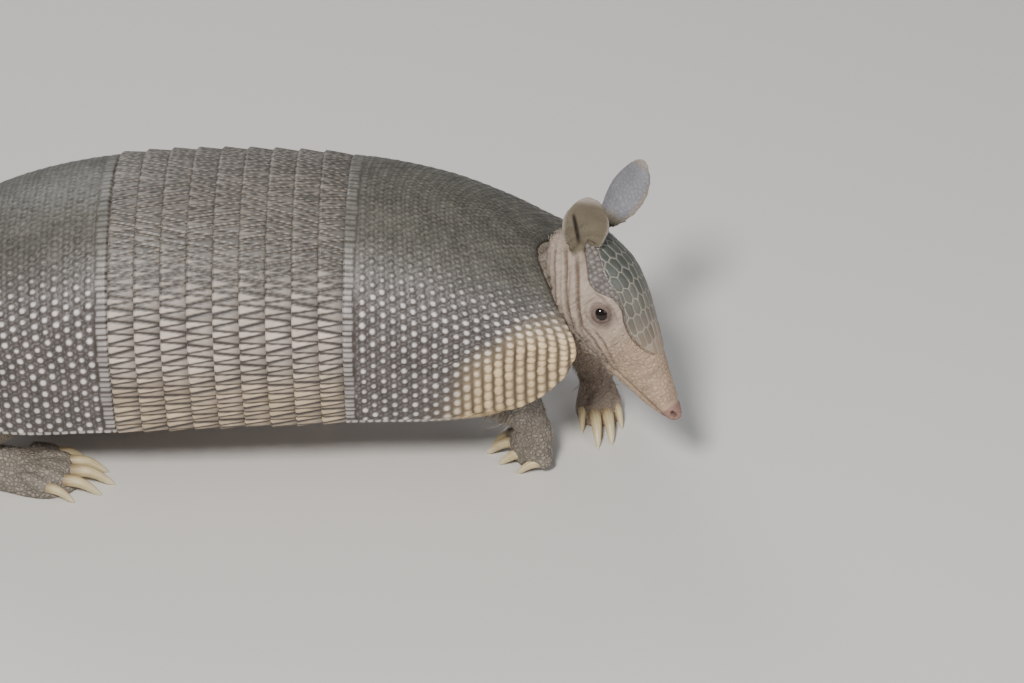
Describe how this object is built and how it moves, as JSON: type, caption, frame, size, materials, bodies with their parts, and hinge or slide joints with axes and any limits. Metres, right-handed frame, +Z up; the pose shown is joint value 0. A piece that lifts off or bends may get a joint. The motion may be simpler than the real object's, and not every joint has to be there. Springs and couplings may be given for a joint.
{
  "type": "nine-banded armadillo model",
  "caption": "Life-size still model of a nine-banded armadillo, standing with lowered head turned right, banded bony carapace, long ringed tail and large digging claws.",
  "frame": {"origin": "On the floor under the middle of the whole animal's box, between head and tail.", "axes": "+X towards the head, +Y to the animal's left, +Z up; the feet stand on z = 0."},
  "size_m": [0.6307, 0.2103, 0.159],
  "materials": {
    "shell": "Horny scutes over bone, dark grey with pale cream rosettes, satin.",
    "tail_armour": "Rings of small keeled scutes, grey brown with pale edges, satin.",
    "skin": "Bare wrinkled skin, pinkish tan grey with sparse bristles, dull.",
    "claw": "Ivory yellow horn with a fine long grain, satin.",
    "eye": "Wet dark brown eye."
  },
  "bodies": {
    "root": {"head": "skin", "jaw": "skin", "head_shield": "shell", "eye_left": "eye", "ear_left": "skin", "eye_right": "eye", "ear_right": "skin", "trunk": "skin", "neck": "skin", "pelvic_shield": "shell", "scapular_shield": "shell", "band_1": "shell", "band_2": "shell", "band_3": "shell", "band_4": "shell", "band_5": "shell", "band_6": "shell", "band_7": "shell", "band_8": "shell", "band_9": "shell", "tail_1": "tail_armour", "tail_2": "tail_armour", "tail_3": "tail_armour", "tail_4": "tail_armour", "tail_5": "tail_armour", "foreleg_left_foot": "skin", "foreleg_left_claw_1": "claw", "foreleg_left_claw_2": "claw", "foreleg_left_claw_3": "claw", "foreleg_left_claw_4": "claw", "foreleg_left_upper": "skin", "foreleg_left_lower": "skin", "foreleg_right_foot": "skin", "foreleg_right_claw_1": "claw", "foreleg_right_claw_2": "claw", "foreleg_right_claw_3": "claw", "foreleg_right_claw_4": "claw", "foreleg_right_upper": "skin", "foreleg_right_lower": "skin", "hindleg_left_foot": "skin", "hindleg_left_claw_1": "claw", "hindleg_left_claw_2": "claw", "hindleg_left_claw_3": "claw", "hindleg_left_claw_4": "claw", "hindleg_left_claw_5": "claw", "hindleg_left_upper": "skin", "hindleg_left_lower": "skin", "hindleg_right_foot": "skin", "hindleg_right_claw_1": "claw", "hindleg_right_claw_2": "claw", "hindleg_right_claw_3": "claw", "hindleg_right_claw_4": "claw", "hindleg_right_claw_5": "claw", "hindleg_right_upper": "skin", "hindleg_right_lower": "skin"}
  },
  "joints": []
}
